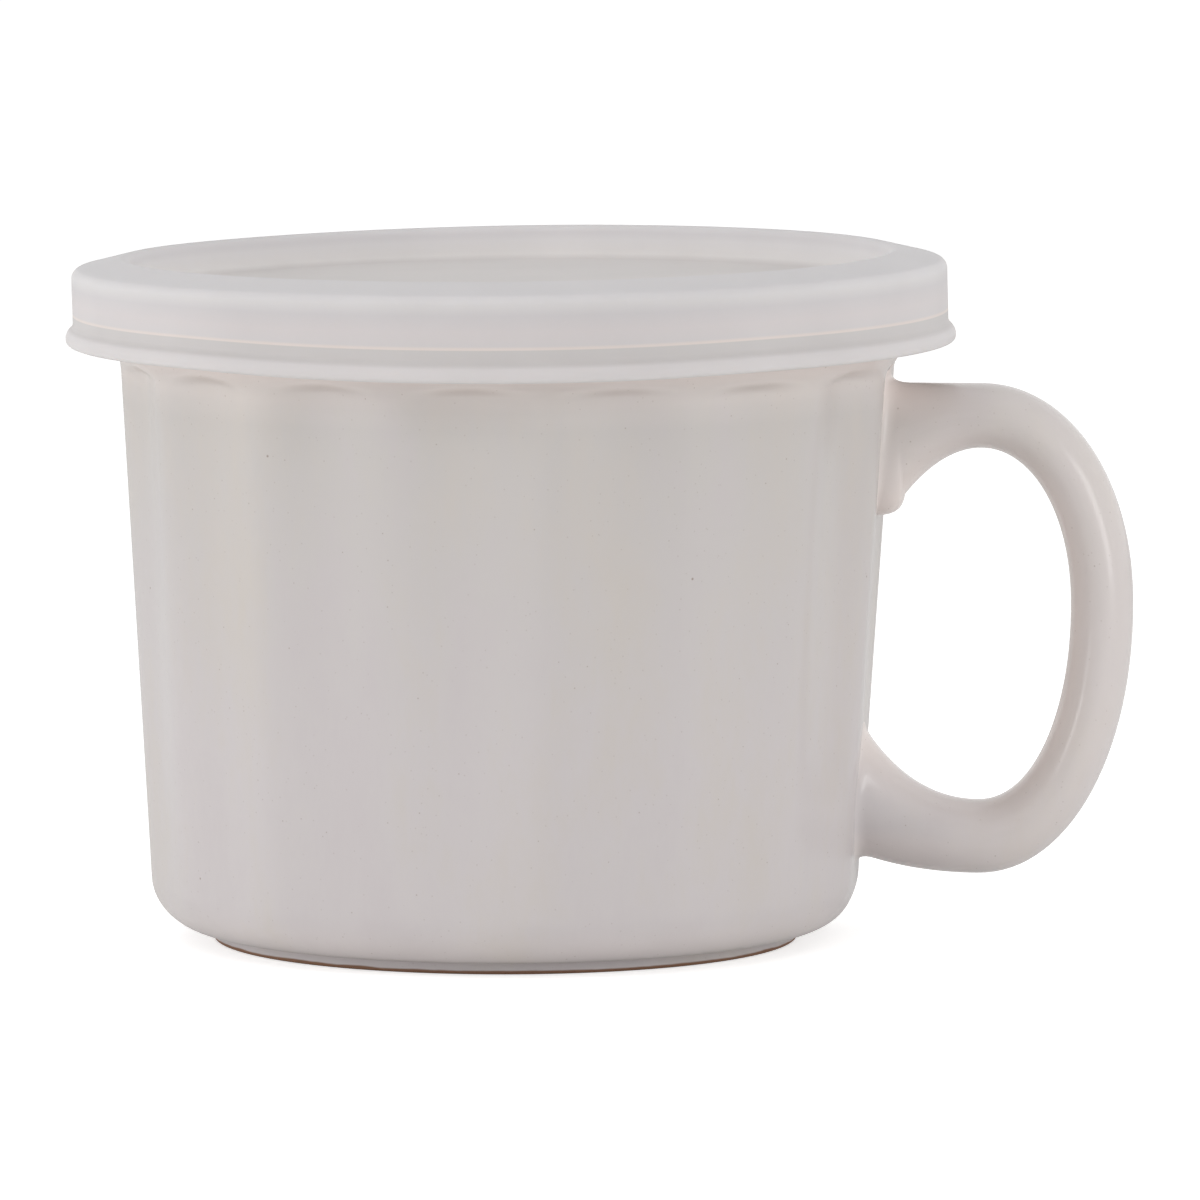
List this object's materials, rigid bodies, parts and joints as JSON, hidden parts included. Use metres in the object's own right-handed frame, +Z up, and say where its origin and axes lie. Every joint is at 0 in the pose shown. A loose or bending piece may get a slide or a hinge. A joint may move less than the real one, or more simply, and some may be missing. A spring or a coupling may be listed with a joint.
{
  "type": "mug with lid",
  "caption": "Fluted stoneware soup mug with a flared rim, an ear-shaped side handle and a milky press-on plastic lid with a sunken top.",
  "frame": {"origin": "on the mug's axis in the plane of the foot ring, which stands on the table; the base inside the ring lies 0.8 mm above it", "axes": "+Z up along the mug's axis, +X out through the handle, +Y to the left of the handle"},
  "size_m": [0.1518, 0.126, 0.0967],
  "materials": {
    "glazed_stoneware": "glossy warm white glaze with fine brown speckles",
    "lid_plastic": "satin milky translucent moulded polyethylene"
  },
  "bodies": {
    "mug": {"mug_body": "glazed_stoneware", "handle": "glazed_stoneware"},
    "lid": {"lid": "lid_plastic"}
  },
  "joints": [
    {"name": "lid_lift", "type": "slide", "parent": "mug", "child": "lid", "axis": [0, 0, 1], "range_m": [0, 0.12]}
  ]
}
